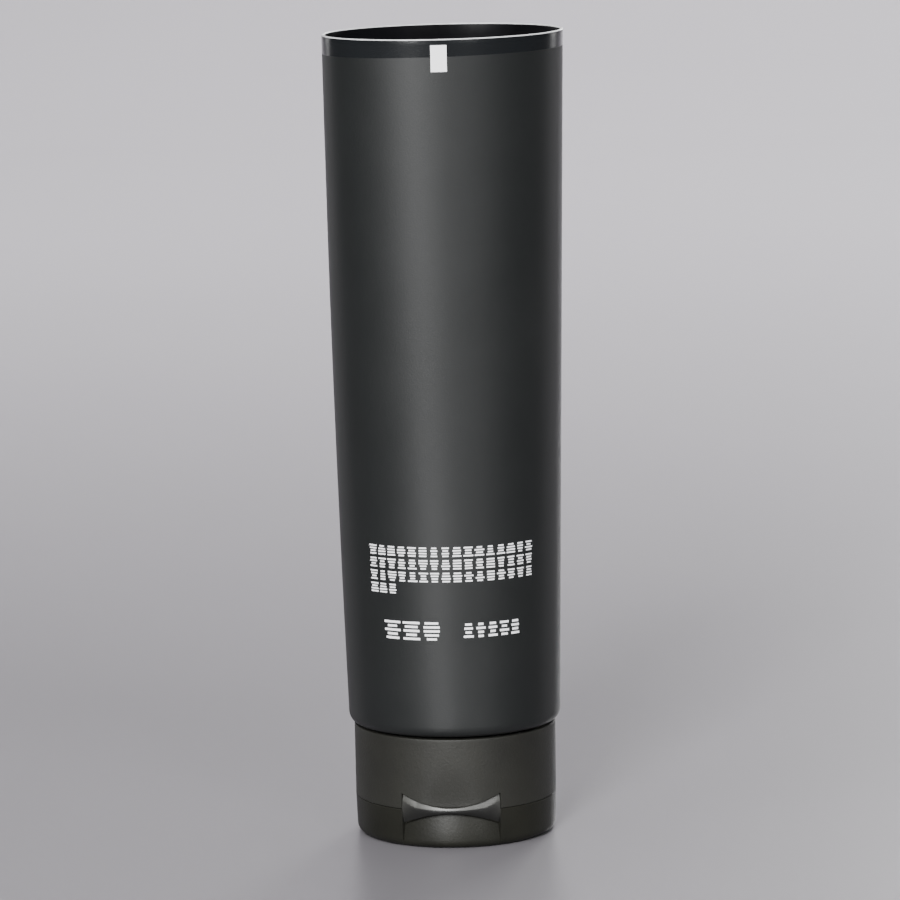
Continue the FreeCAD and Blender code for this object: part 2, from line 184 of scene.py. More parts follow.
def shell_from_columns(name, columns, looped):
    """Closed shell from one (x, y, z) profile per column, the columns going all the way round."""
    bm = bmesh.new()
    grid = [[bm.verts.new(point) for point in column] for column in columns]
    rows = len(grid[0])
    last = rows if looped else rows - 1
    for i in range(len(grid)):
        here = grid[i]
        there = grid[(i + 1) % len(grid)]
        for k in range(last):
            n = (k + 1) % rows
            bm.faces.new((here[k], there[k], there[n], here[n]))
    mesh = mesh_from(bm, name)
    finish_mesh(mesh)
    return mesh


def arc(centre_r, centre_z, radius_r, radius_z, from_deg, to_deg, steps):
    """Points (r, z) along part of an ellipse."""
    points = []
    for i in range(steps + 1):
        a = math.radians(from_deg + (to_deg - from_deg) * i / steps)
        points.append((centre_r + radius_r * math.cos(a), centre_z + radius_z * math.sin(a)))
    return points


def spread(low, high, count):
    """count evenly spaced values from low to high."""
    return [low + (high - low) * i / (count - 1) for i in range(count)]


def applied(piece):
    """The piece's mesh with its modifiers in it, and the modifiers gone."""
    bpy.context.view_layer.update()
    graph = bpy.context.evaluated_depsgraph_get()
    mesh = bpy.data.meshes.new_from_object(piece.evaluated_get(graph))
    piece.modifiers.clear()
    old = piece.data
    piece.data = mesh
    bpy.data.meshes.remove(old)
    return piece


def block(x0, x1, y0, y1, z0, z1):
    """Throwaway cutter."""
    bm = bmesh.new()
    bmesh.ops.create_cube(bm, size=1.0)
    size = Vector((x1 - x0, y1 - y0, z1 - z0))
    centre = Vector((x0 + x1, y0 + y1, z0 + z1)) / 2
    stretch = Matrix.Translation(centre) @ Matrix.Diagonal((*size, 1))
    bmesh.ops.transform(bm, matrix=stretch, verts=bm.verts)
    return new_piece("cutter", mesh_from(bm, "cutter"))


def cut_away(piece, cutters):
    for cutter in cutters:
        cut = piece.modifiers.new("cut", "BOOLEAN")
        cut.operation = "DIFFERENCE"
        cut.solver = "EXACT"
        cut.object = cutter
    applied(piece)
    for cutter in cutters:
        bpy.data.objects.remove(cutter)
    finish_mesh(piece.data)


# ---- node helpers -------------------------------------------------------
class Nodes:
    """Short way to add and link nodes in one tree."""

    def __init__(self, tree):
        self.tree = tree

    def add(self, kind, settings=None, **links):
        node = self.tree.nodes.new(kind)
        for key, value in (settings or {}).items():
            if hasattr(node, key):
                setattr(node, key, value)
            else:
                node.inputs[key].default_value = value
        for key, source in links.items():
            numbered = key.startswith("in_")
            target = int(key[3:]) if numbered else key.replace("_", " ")
            self.tree.links.new(source, node.inputs[target])
        return node

    def math(self, operation, a, b):
        node = self.tree.nodes.new("ShaderNodeMath")
        node.operation = operation
        for i, value in enumerate((a, b)):
            if isinstance(value, (int, float)):
                node.inputs[i].default_value = value
            else:
                self.tree.links.new(value, node.inputs[i])
        return node.outputs[0]

    def noise(self, place, scale, detail, **settings):
        settings = {"Scale": scale, "Detail": detail, **settings}
        return self.add("ShaderNodeTexNoise", settings, Vector=place).outputs[0]

    def tones(self, share, low, high):
        """Colour between low, a colour or another node's output, and high."""
        mix = self.add("ShaderNodeMix", {"data_type": "RGBA"})
        self.tree.links.new(share, mix.inputs[0])
        if isinstance(low, tuple):
            mix.inputs[6].default_value = (*low, 1)
        else:
            self.tree.links.new(low, mix.inputs[6])
        mix.inputs[7].default_value = (*high, 1)
        return mix.outputs[2]

    def between(self, share, low, high):
        return self.add("ShaderNodeMapRange", {"To Min": low, "To Max": high},
                        Value=share).outputs[0]


# ---- pressing the round sleeve into an oval ------------------------------
def short_radius(long_r):
    """Short half-axis of the oval that keeps the round sleeve's perimeter."""
    low, high = SLEEVE_R * 0.5, SLEEVE_R
    while high - low > 1e-8:
        mid = (low + high) / 2
        h = ((long_r - mid) / (long_r + mid)) ** 2
        around = math.pi * (long_r + mid) * (1 + 3 * h / (10 + math.sqrt(4 - 3 * h)))
        if around > 2 * math.pi * SLEEVE_R:
            high = mid
        else:
            low = mid
    return (low + high) / 2


def press_tree():
    """Geometry nodes that press a round sleeve, and the ink on it, into an oval at the mouth."""
    tree = bpy.data.node_groups.new("press_to_oval", "GeometryNodeTree")
    tree.interface.new_socket("Geometry", in_out="INPUT", socket_type="NodeSocketGeometry")
    for name in ("Press From", "Mouth", "Yaw", "Long Gain", "Short Loss", "Short Bend",
                 "Slack", "Bulge"):
        tree.interface.new_socket(name, in_out="INPUT", socket_type="NodeSocketFloat")
    tree.interface.new_socket("Geometry", in_out="OUTPUT", socket_type="NodeSocketGeometry")
    n = Nodes(tree)
    given = tree.nodes.new("NodeGroupInput").outputs
    place = tree.nodes.new("GeometryNodeInputPosition").outputs[0]
    split = n.add("ShaderNodeSeparateXYZ", in_0=place).outputs
    height = n.math("SUBTRACT", given["Mouth"], given["Press From"])
    share = n.math("DIVIDE", n.math("SUBTRACT", split[2], given["Press From"]), height)
    share = n.math("MINIMUM", n.math("MAXIMUM", share, 0.0), 1.0)
    # slack: the thin wall isn't perfectly even
    ripple = n.noise(place, 22.0, 1.0)
    ripple = n.math("MULTIPLY", n.math("SUBTRACT", ripple, 0.5), given["Slack"])
    swell = n.math("ADD", 1.0, n.math("MULTIPLY", ripple, share))
    turned = n.add("ShaderNodeVectorRotate", {"rotation_type": "Z_AXIS"}, Vector=place)
    tree.links.new(n.math("MULTIPLY", given["Yaw"], -1.0), turned.inputs["Angle"])
    flat = n.add("ShaderNodeSeparateXYZ", in_0=turned.outputs[0]).outputs
    longer = n.math("ADD", 1.0, n.math("MULTIPLY", share, given["Long Gain"]))
    loss = n.math("ADD", n.math("MULTIPLY", share, given["Short Loss"]),
                  n.math("MULTIPLY", n.math("MULTIPLY", share, share), given["Short Bend"]))
    shorter = n.math("SUBTRACT", 1.0, loss)
    along = n.math("MULTIPLY", n.math("MULTIPLY", flat[0], longer), swell)
    across = n.math("MULTIPLY", n.math("MULTIPLY", flat[1], shorter), swell)
    pressed = n.add("ShaderNodeCombineXYZ", in_0=along, in_1=across, in_2=flat[2])
    back = n.add("ShaderNodeVectorRotate", {"rotation_type": "Z_AXIS"}, Vector=pressed.outputs[0],
                 Angle=given["Yaw"])
    # a soft bulge to the left, most of it halfway up, none of it at the right side or at the ends
    left = n.math("SUBTRACT", 0.5, n.math("MULTIPLY", split[0], 0.5 / SLEEVE_R))
    halfway = n.math("MULTIPLY", n.math("MULTIPLY", share, 4.0), n.math("SUBTRACT", 1.0, share))
    leftward = n.math("MULTIPLY", given["Bulge"], -1.0)
    aside = n.math("MULTIPLY", n.math("MULTIPLY", halfway, left), leftward)
    shift = n.add("ShaderNodeCombineXYZ", in_0=aside)
    moved = n.add("GeometryNodeSetPosition", Geometry=given["Geometry"], Position=back.outputs[0],
                  Offset=shift.outputs[0])
    out = tree.nodes.new("NodeGroupOutput")
    tree.links.new(moved.outputs[0], out.inputs[0])
    return tree


def set_inputs(modifier, values):
    """Sets a geometry-nodes modifier's named inputs by their identifiers."""
    for item in modifier.node_group.interface.items_tree:
        if item.in_out == "INPUT" and item.name in values:
            modifier[item.identifier] = values[item.name]


PRESS = press_tree()
HALF_LONG = (SLEEVE_R + MOUTH_LONG_R) / 2
LOSS_FULL = 1 - short_radius(MOUTH_LONG_R) / SLEEVE_R
LOSS_HALF = 1 - short_radius(HALF_LONG) / SLEEVE_R


def press_to_oval(piece):
    press = piece.modifiers.new("press", "NODES")
    press.node_group = PRESS
    set_inputs(press, {
        "Press From": PRESS_FROM_Z,
        "Mouth": MOUTH_Z,
        "Yaw": MOUTH_YAW,
        "Long Gain": MOUTH_LONG_R / SLEEVE_R - 1,
        "Short Loss": 4 * LOSS_HALF - LOSS_FULL,
        "Short Bend": 2 * LOSS_FULL - 4 * LOSS_HALF,
        "Slack": WALL_SLACK,
        "Bulge": SIDE_BULGE,
    })
    applied(piece)


def make_sleeve():
    """Thin extruded wall, turned in over the shoulder and cut square at the mouth."""
    inner = SLEEVE_R - SLEEVE_WALL
    corner_z = SHOULDER_Z + CORNER_H
    profile = [(r, SHOULDER_Z) for r in spread(FLANGE_HOLE_R, SLEEVE_R - CORNER_IN, 4)]
    profile += arc(SLEEVE_R - CORNER_IN, corner_z, CORNER_IN, CORNER_H, -90, 0, 14)[1:]
    profile += [(SLEEVE_R, z) for z in spread(corner_z, MOUTH_Z - RIM_ROUND, 120)[1:]]
    profile += arc(SLEEVE_R - RIM_ROUND, MOUTH_Z - RIM_ROUND, RIM_ROUND, RIM_ROUND, 0, 90, 5)[1:]
    profile += arc(inner + RIM_ROUND, MOUTH_Z - RIM_ROUND, RIM_ROUND, RIM_ROUND, 90, 180, 5)
    profile += [(inner, z) for z in spread(MOUTH_Z - RIM_ROUND, corner_z, 60)[1:]]
    profile += arc(inner - CORNER_IN, corner_z, CORNER_IN, CORNER_H - SLEEVE_WALL, 0, -90, 8)[1:]
    profile += [(FLANGE_HOLE_R, SHOULDER_Z + SLEEVE_WALL)]
    columns = []
    for i in range(SLEEVE_COLUMNS):
        a = 2 * math.pi * i / SLEEVE_COLUMNS
        columns.append([(r * math.cos(a), r * math.sin(a), z) for r, z in profile])
    sleeve = new_piece("sleeve_skin", shell_from_columns("sleeve_skin", columns, looped=True))
    press_to_oval(sleeve)
    finish_mesh(sleeve.data)
    return sleeve


# ---- ink on the sleeve ----------------------------------------------------
INK_T = 0.03 * MM           # the ink stands this far out, and sinks in as far
FRONT = math.radians(-90)
PRINT_TURN = math.radians(3.7)  # the print sits a little to the right of the notch

NOTICE_CELLS = (16, 16, 16, 3)  # in its rows, from the top
NOTICE_LEFT = -16.2 * MM        # left edge of the rows, round the sleeve from the print's middle
NOTICE_TOP_Z = 56.45 * MM       # middle of the top row
NOTICE_PITCH = 2.37 * MM
NOTICE_CELL = 2.05 * MM
NOTICE_SEED = 11

VOLUME_NUMBER_X = -7.65 * MM    # middles of the volume line's two groups
VOLUME_NUMBER_Z = 41.6 * MM
VOLUME_UNIT_X = 7.55 * MM
VOLUME_UNIT_Z = 41.65 * MM
VOLUME_NUMBER = {"Cells": 3, "Bars": 5, "Cell Pitch": 3.85 * MM, "Bar Pitch": 0.75 * MM,
                 "Bar Length": 3.5 * MM, "Bar Height": 0.42 * MM, "Seed": 41}
VOLUME_UNIT = {"Cells": 5, "Bars": 4, "Cell Pitch": 2.3 * MM, "Bar Pitch": 0.75 * MM,
               "Bar Length": 1.9 * MM, "Bar Height": 0.42 * MM, "Seed": 47}

MARK_W = 2.65 * MM
MARK_H = 4.9 * MM
MARK_TURN = math.radians(4.6)
MARK_Z = 147.75 * MM


def ink_row_tree():
    """Row of generic ink cells, each a stack of short bars of uneven length."""
    tree = bpy.data.node_groups.new("ink_row", "GeometryNodeTree")
    for name, kind in (("Cells", "Int"), ("Bars", "Int"),
                       ("Cell Pitch", "Float"), ("Bar Pitch", "Float"),
                       ("Bar Length", "Float"), ("Bar Height", "Float"),
                       ("Seed", "Int"), ("Ink", "Material")):
        tree.interface.new_socket(name, in_out="INPUT", socket_type="NodeSocket" + kind)
    tree.interface.new_socket("Geometry", in_out="OUTPUT", socket_type="NodeSocketGeometry")
    n = Nodes(tree)
    given = tree.nodes.new("NodeGroupInput").outputs
    wide = n.math("MULTIPLY", n.math("SUBTRACT", given["Cells"], 1.0), given["Cell Pitch"])
    high = n.math("MULTIPLY", n.math("SUBTRACT", given["Bars"], 1.0), given["Bar Pitch"])
    grid = n.add("GeometryNodeMeshGrid", Vertices_X=given["Cells"], Vertices_Y=given["Bars"],
                 Size_X=wide, Size_Y=high)
    bar = n.add("GeometryNodeMeshGrid", {"Vertices X": 5, "Vertices Y": 2},
                Size_X=given["Bar Length"], Size_Y=given["Bar Height"])
    length = n.add("FunctionNodeRandomValue", {"data_type": "FLOAT"}, Seed=given["Seed"])
    length.inputs[2].default_value = 0.5
    length.inputs[3].default_value = 1.0
    stretch = n.add("ShaderNodeCombineXYZ", {"Y": 1.0, "Z": 1.0}, X=length.outputs[1])
    placed = n.add("GeometryNodeInstanceOnPoints", Points=grid.outputs[0], Instance=bar.outputs[0],
                   Scale=stretch.outputs[0])
    real = n.add("GeometryNodeRealizeInstances", Geometry=placed.outputs[0])
    inked = n.add("GeometryNodeSetMaterial", Geometry=real.outputs[0], Material=given["Ink"])
    out = tree.nodes.new("NodeGroupOutput")
    tree.links.new(inked.outputs[0], out.inputs[0])
    return tree


def patch(width, height, across, up):
    """Flat patch in the XY plane, cut finely enough to bend round the sleeve."""
    bm = bmesh.new()
    bmesh.ops.create_grid(bm, x_segments=across, y_segments=up, size=0.5)
    bmesh.ops.scale(bm, vec=(width, height, 1), verts=bm.verts)
    return mesh_from(bm, "patch")


def wrap_on_sleeve(piece, turn, z):
    """Bends a flat piece round the sleeve, gives it thickness and presses it to the oval."""
    for vertex in piece.data.vertices:
        a = FRONT + turn + vertex.co.x / SLEEVE_R
        r = SLEEVE_R + INK_T
        vertex.co = Vector((r * math.cos(a), r * math.sin(a), z + vertex.co.y))
    bm = bmesh.new()
    bm.from_mesh(piece.data)
    flat = bm.faces[:]
    grown = bmesh.ops.extrude_face_region(bm, geom=flat)
    for vertex in grown["geom"]:
        if isinstance(vertex, bmesh.types.BMVert):
            vertex.co.xy *= (SLEEVE_R - INK_T) / (SLEEVE_R + INK_T)
    bmesh.ops.recalc_face_normals(bm, faces=bm.faces)
    bm.to_mesh(piece.data)
    bm.free()
    press_to_oval(piece)
    return piece


def joined(name, pieces):
    """One mesh made of several, with their own meshes gone."""
    bm = bmesh.new()
    for piece in pieces:
        bm.from_mesh(piece.data)
        bpy.data.objects.remove(piece)
    return new_piece(name, mesh_from(bm, name))


INK_ROW = ink_row_tree()


def ink_row(ink, x, z, values):
    """Greeked row with its middle at x, measured round the sleeve from the print's middle."""
    row = new_piece("row", bpy.data.meshes.new("row"))
    cells = row.modifiers.new("row", "NODES")
    cells.node_group = INK_ROW
    set_inputs(cells, dict(values, Ink=ink))
    applied(row)
    return wrap_on_sleeve(row, PRINT_TURN + x / SLEEVE_R, z)


def make_notice(ink):
    """Small-print block of four rows, greeked."""
    rows = []
    for i, cells in enumerate(NOTICE_CELLS):
        middle = NOTICE_LEFT + NOTICE_CELL * cells / 2
        values = {"Cells": cells, "Bars": 4, "Cell Pitch": NOTICE_CELL, "Bar Pitch": 0.5 * MM,
                  "Bar Length": 1.8 * MM, "Bar Height": 0.27 * MM, "Seed": NOTICE_SEED + i}
        rows.append(ink_row(ink, middle, NOTICE_TOP_Z - NOTICE_PITCH * i, values))
    return joined("notice_rows", rows)


def make_volume_line(ink):
    """Larger greeked line below the notice."""
    number = ink_row(ink, VOLUME_NUMBER_X, VOLUME_NUMBER_Z, VOLUME_NUMBER)
    unit = ink_row(ink, VOLUME_UNIT_X, VOLUME_UNIT_Z, VOLUME_UNIT)
    return joined("volume_line", [number, unit])


def make_eye_mark():
    """Plain registration mark for the machine that closes the tube."""
    mark = new_piece("registration_mark", patch(MARK_W, MARK_H, 12, 10))
    return wrap_on_sleeve(mark, MARK_TURN, MARK_Z)


# ---- cap ------------------------------------------------------------------
def sag(x, half_w, rise):
    """Height of a circular arc above its middle, at x, that rises by rise at half_w."""
    radius = (half_w ** 2 + rise ** 2) / (2 * rise)
    return radius - math.sqrt(radius ** 2 - x ** 2)


def ledge_z(x):
    """Top of the tab."""
    return SEAM_Z + LEDGE_RISE + sag(x, NOTCH_HALF_W, HORN_RISE - LEDGE_RISE)


def land_low_z(x):
    """Lower edge of the tab."""
    return SEAM_Z - LAND_DROP_MID - sag(x, NOTCH_HALF_W, LAND_DROP_END - LAND_DROP_MID)


def scoop_radius(a, z, inset):
    """Distance from the tube's axis to the scoop's cone, at angle a from the front."""
    land_z = SEAM_Z - LAND_DROP_MID
    foot = SEAM_R - SCOOP_CENTRE - SCOOP_SETBACK - inset
    cone = foot - SCOOP_DEPTH * (z - SCOOP_FOOT_Z) / (land_z - SCOOP_FOOT_Z)
    return SCOOP_CENTRE * math.cos(a) + math.sqrt(cone ** 2 - (SCOOP_CENTRE * math.sin(a)) ** 2)


def behind_flat(a, r):
    """Inner radius at angle a, a wall's thickness clear of the flat that carries the hinge."""
    if math.cos(a) < 0:
        return min(r, (HINGE_Y - CAP_WALL) / -math.cos(a))
    return r


def softer(a, b, soft):
    """The smaller of a and b, with the corner between them eased."""
    return min(a, b) - soft * math.log1p(math.exp(-abs(a - b) / soft))


def lid_wall_r(z):
    share = (z - LID_FOOT_ROUND) / (LID_TOP_Z - LID_FOOT_ROUND)
    return LID_FOOT_R + (SEAM_R - LID_FOOT_R) * share


def skirt_r(z):
    share = (z - BASE_LOW_Z) / (SKIRT_TOP_Z - BASE_LOW_Z)
    return SEAM_R + (SKIRT_R - SEAM_R) * share


def cap_angles(notch_half_w):
    """Column angles from the front, close together in the notch, with a step at its ends."""
    end = math.asin(notch_half_w / SEAM_R)
    step = NOTCH_STEP / SEAM_R
    inside = spread(-end, end, 141)
    outside = spread(end + step, 2 * math.pi - end - step, 260)
    return [(a, True) for a in inside] + [(a, False) for a in outside]


def tab_waist_z(x):
    """Line along the tab where it is proudest."""
    top = ledge_z(x)
    return top - min((top - land_low_z(x)) * TAB_CROWN_SHARE, TAB_CROWN_MOST)


def painted_light_share(x, z):
    """How much painted highlight the tab's colour takes: fully above its waist, and fading below at
    its ends.
    """
    waist, low = tab_waist_z(x), land_low_z(x)
    if z > waist:
        return 1.0
    below = min(max((z - low) / (waist - low), 0.0), 1.0)
    return TAB_END_PAINTED_LIGHT * below * (x / NOTCH_HALF_W) ** TAB_PAINTED_LIGHT_POWER


def tab_face_r(x, z):
    """Outer face of the tab: it leans back above its waist and tucks in more and more below it."""
    waist = tab_waist_z(x)
    end_share = (x / NOTCH_HALF_W) ** TAB_END_POWER
    lean = math.radians(TAB_CROWN_LEAN + TAB_END_LEAN * end_share)
    crown = SEAM_R - (z - waist) * math.tan(lean)
    tuck = SEAM_R
    if z < waist:
        tuck_lean = math.radians(TAB_TUCK_LEAN + TAB_TUCK_MORE * (1 - x / NOTCH_HALF_W))
        tuck -= (waist - z) ** 2 / (waist - land_low_z(x)) * math.tan(tuck_lean)
    return softer(crown, tuck, TAB_EASE + (TAB_EASE_END - TAB_EASE) * end_share)


def lid_profile(a, in_notch):
    """(r, z) from the middle of the lid's underside, up its outside and back inside it."""
    x = min(abs(SEAM_R * math.sin(a)), NOTCH_HALF_W)
    flat_r = LID_FOOT_R - LID_FOOT_ROUND
    low = land_low_z(x)
    foot = arc(flat_r, LID_FOOT_ROUND, LID_FOOT_ROUND, LID_FOOT_ROUND, -90, 0, 24)
    foot += [(lid_wall_r(z), z) for z in spread(LID_FOOT_ROUND, low, 30)[1:]]
    if in_notch:
        top = ledge_z(x)
        foot = [(softer(r, scoop_radius(a, z, 0.0), SCOOP_EASE), z) for r, z in foot]
        bend_z = top - TAB_TOP_ROUND
        outline = [(tab_face_r(x, z), z) for z in spread(low, bend_z, 26)]
        bend_r = tab_face_r(x, bend_z) - TAB_TOP_ROUND
        outline += arc(bend_r, bend_z, TAB_TOP_ROUND, TAB_TOP_ROUND, 0, 90, 6)[1:]
        outline += [(SEAM_R - TAB_T, top), (SEAM_R - TAB_T, LID_TOP_Z)]
    else:
        bend_z = LID_TOP_Z - EDGE_ROUND
        outline = [(lid_wall_r(z), z) for z in spread(low, bend_z, 26)]
        outline += arc(SEAM_R - EDGE_ROUND, bend_z, EDGE_ROUND, EDGE_ROUND, 0, 90, 6)[1:]
        outline += [(SEAM_R - TAB_T, LID_TOP_Z)] * 2
    inside = []
    behind_scoop = abs(SEAM_R * math.sin(a)) < NOTCH_HALF_W + SCOOP_WALL and math.cos(a) > 0
    for z in spread(LID_TOP_Z, LID_FLOOR, 9):
        r = behind_flat(a, LID_BORE_R)
        if behind_scoop:
            r = min(r, scoop_radius(a, z, SCOOP_WALL))
        inside.append((r, z))
    middle = [(inside[-1][0] / 2, LID_FLOOR), (0.0, LID_FLOOR)]
    return [(0.0, 0.0), (flat_r / 2, 0.0)] + foot + outline + inside + middle


def base_profile(a, in_notch):
    """(r, z) of the base's section, from the spout's hole under the deck, round and back to it."""
    edge = BASE_EDGE_ROUND
    under_r = behind_flat(a, UNDER_DECK_R)
    back_r = SEAM_R - TAB_T - NOTCH_PLAY
    low = BASE_LOW_Z
    if in_notch:
        x = min(abs(SEAM_R * math.sin(a)), NOTCH_HALF_W)
        low = max(BASE_LOW_Z, ledge_z(x) + LEDGE_PLAY)

    def outer(z):
        """Skirt, with a shallow dish pressed into its front."""
        if math.cos(a) < 0.5:
            return skirt_r(z)
        sunk = DISH_DEPTH * (DISH_TOP_Z - z) / (DISH_TOP_Z - SEAM_Z)
        if in_notch:
            sunk -= TOE_FLARE * math.exp((low - z) / TOE_FLARE_H)
        dish_r = ((SEAM_R + SKIRT_R) / 2 - sunk) / math.cos(a)
        return softer(skirt_r(z), dish_r, DISH_EASE)

    points = [(SPOUT_R, DECK_LOW_Z), (under_r, DECK_LOW_Z), (under_r, BASE_LOW_Z)]
    points += [(back_r, BASE_LOW_Z), (back_r, low)]
    wall_r = outer(low + edge)
    points += arc(wall_r - edge, low + edge, edge, edge, -90, 0, 5)
    points += [(outer(z), z) for z in spread(low + edge, DISH_TOP_Z, 30)[1:]]
    points += [(outer(z), z) for z in spread(DISH_TOP_Z, SKIRT_TOP_Z - EDGE_ROUND, 14)[1:]]
    rim_r = outer(SKIRT_TOP_Z - EDGE_ROUND)
    rim_z = SKIRT_TOP_Z - EDGE_ROUND
    points += arc(rim_r - EDGE_ROUND, rim_z, EDGE_ROUND, EDGE_ROUND, 0, 90, 5)[1:]
    inner_r = SKIRT_R - CAP_WALL
    if math.cos(a) > 0:
        inner_r = min(inner_r, FRONT_WALL_Y / math.cos(a))
    points += [(inner_r, z) for z in spread(SKIRT_TOP_Z, HINGE_WALL_TOP_Z, 4)]
    points += [(behind_flat(a, inner_r), z) for z in spread(HINGE_WALL_TOP_Z, DECK_TOP_Z, 4)]
    points += [(SPOUT_R, DECK_TOP_Z)]
    return points


def turned_cap_part(name, profile_at, notch_half_w, looped):
    columns = []
    for a, in_notch in cap_angles(notch_half_w):
        profile = profile_at(a, in_notch)
        columns.append([(r * math.sin(a), -r * math.cos(a), z) for r, z in profile])
    return new_piece(name, shell_from_columns(name, columns, looped))


def hinge_cutters():
    """Seats for the film straps and the spring strip, and the window behind the strip."""
    cutters = []
    for side in (-1, 1):
        x0, x1 = sorted((side * strap_low.x, side * strap_high.x))
        cutters.append(block(x0, x1, strap_low.y, FAR, strap_low.z, strap_high.z))
    cutters.append(block(spring_low.x, spring_high.x, spring_low.y, FAR,
                         spring_low.z, spring_high.z))
    half_w = spring_high.x + WINDOW_MARGIN
    half_h = spring_high.z - SEAM_Z - WINDOW_SHORT
    cutters.append(block(-half_w, half_w, spring_low.y - WINDOW_DEPTH, FAR,
                         SEAM_Z - half_h, SEAM_Z + half_h))
    return cutters


def make_lid():
    lid = turned_cap_part("lid_skin", lid_profile, NOTCH_HALF_W, looped=False)
    cut_away(lid, [block(-FAR, FAR, HINGE_Y, FAR, -FAR, FAR)] + hinge_cutters())
    return lid


def make_base():
    base = turned_cap_part("cap_skirt", base_profile, NOTCH_HALF_W + SIDE_PLAY, looped=True)
    cut_away(base, [block(-FAR, FAR, HINGE_Y, FAR, -FAR, HINGE_FLAT_TOP_Z)] + hinge_cutters())
    return base


def make_hinge_strip(name, low, high, thinner):
    """Flexible strip across the parting line, thinner along the fold."""
    rows = spread(low.z, high.z, 41)
    section = []
    for z in rows:
        near = abs(z - SEAM_Z) / (high.z - SEAM_Z)
        dip = thinner * math.exp(-(near * FOLD_SHARPNESS) ** 2)
        section.append((low.y + dip * DIP_INSIDE, high.y - dip * (1 - DIP_INSIDE), z))
    bm = bmesh.new()
    rings = []
    for inner_y, outer_y, z in section:
        rings.append([bm.verts.new(p) for p in ((low.x, inner_y, z), (high.x, inner_y, z),
                                                (high.x, outer_y, z), (low.x, outer_y, z))])
    for below, above in zip(rings, rings[1:]):
        for k in range(4):
            n = (k + 1) % 4
            bm.faces.new((below[k], below[n], above[n], above[k]))
    bm.faces.new(rings[0][::-1])
    bm.faces.new(rings[-1])
    mesh = mesh_from(bm, name)
    finish_mesh(mesh)
    return new_piece(name, mesh)


# ---- materials ------------------------------------------------------------
class Finish(Nodes):
    """New material with a principled shader, laid out in object coordinates."""

    def __init__(self, name, specular=0.5):
        self.material = bpy.data.materials.new(name)
        self.material.use_nodes = True
        super().__init__(self.material.node_tree)
        self.shader = self.tree.nodes["Principled BSDF"]
        self.shader.inputs["Specular IOR Level"].default_value = specular
        self.place = self.tree.nodes.new("ShaderNodeTexCoord").outputs["Object"]

    def grain(self, scale, detail, **settings):
        return self.noise(self.place, scale, detail, **settings)

    def colour(self, source):
        self.tree.links.new(source, self.shader.inputs["Base Color"])

    def rough(self, source):
        self.tree.links.new(source, self.shader.inputs["Roughness"])

    def raised(self, height, depth):
        bump = self.add("ShaderNodeBump", {"Strength": 1.0, "Distance": depth}, Height=height)
        self.tree.links.new(bump.outputs[0], self.shader.inputs["Normal"])


def moulded_plastic(name, dark, light, rough_low, rough_high, grain_scale, grain_depth,
                    specular=0.4):
    """Moulded plastic with a fine eroded texture and slightly uneven colour."""
    f = Finish(name, specular)
    fine = f.grain(grain_scale, 3.0, Roughness=0.6)
    tone = f.add("ShaderNodeValToRGB", Fac=f.grain(90.0, 4.0))
    low, high = tone.color_ramp.elements
    low.position, high.position = 0.35, 0.7
    low.color, high.color = (*dark, 1), (*light, 1)
    f.colour(tone.outputs[0])
    f.rough(f.between(fine, rough_low, rough_high))
    f.raised(fine, grain_depth)
    return f.material


def tab_gloss_and_painted_light():
    """The tab, a little glossier than the lid: lighter colour along its top and ends as a painted
    highlight, darker at its lower edge as painted shade.
    """
    f = Finish("tab_gloss_and_painted_light", specular=0.5)
    painted_light = f.add("ShaderNodeAttribute", {"attribute_name": "painted_light"}).outputs["Fac"]
    fine = f.grain(2600.0, 3.0)
    # Painted highlight and painted shade: lighter colour along the tab's top and ends, darker than
    # the lid below
    f.colour(f.tones(painted_light, (0.005, 0.005, 0.0045), (0.050, 0.050, 0.046)))
    f.rough(f.between(fine, 0.36, 0.42))
    f.raised(fine, 0.006 * MM)
    return f.material


def sleeve_finish():
    """Soft-touch matt varnish, left off in the band that the mouth is sealed along."""
    f = Finish("sleeve_finish", specular=0.4)
    x, _, z = f.add("ShaderNodeSeparateXYZ", in_0=f.place).outputs
    height = f.math("SUBTRACT", z, f.math("MULTIPLY", x, BAND_TILT))
    edge = MOUTH_Z - BARE_BAND_H
    bare = f.add("ShaderNodeMapRange", {"From Min": edge - BAND_FADE, "From Max": edge + BAND_FADE},
                 Value=height).outputs[0]
    broad = f.grain(60.0, 4.0)
    varnish = f.tones(broad, (0.006, 0.007, 0.007), (0.010, 0.011, 0.011))
    f.colour(f.tones(bare, varnish, (0.008, 0.009, 0.010)))
    f.rough(f.math("SUBTRACT", f.between(broad, 0.44, 0.50), f.math("MULTIPLY", bare, 0.28)))
    f.raised(f.grain(3600.0, 2.0), 0.014 * MM)
    return f.material


def cut_edge_and_highlight():
    """Knife-cut polyethylene at the mouth: its own colour a little lighter than the skin, made far
    lighter as a painted highlight along the rim.
    """
    f = Finish("cut_edge_and_highlight")
    drag = f.grain(900.0, 3.0)
    f.colour(f.tones(drag, (0.30, 0.30, 0.30), (0.75, 0.75, 0.76)))
    f.rough(f.between(drag, 0.25, 0.45))
    return f.material


def white_ink():
    f = Finish("white_ink")
    speck = f.grain(4000.0, 2.0)
    f.colour(f.tones(speck, (0.90, 0.90, 0.92), (0.97, 0.97, 0.98)))
    f.rough(f.between(speck, 0.42, 0.6))
    return f.material


def floor_finish():
    """Pale satin floor, which mirrors the cap's foot a little."""
    f = Finish("floor_finish")
    f.colour(f.tones(f.grain(3.0, 3.0), (0.140, 0.134, 0.145), (0.156, 0.149, 0.161)))
    f.shader.inputs["Roughness"].default_value = 0.34
    return f.material


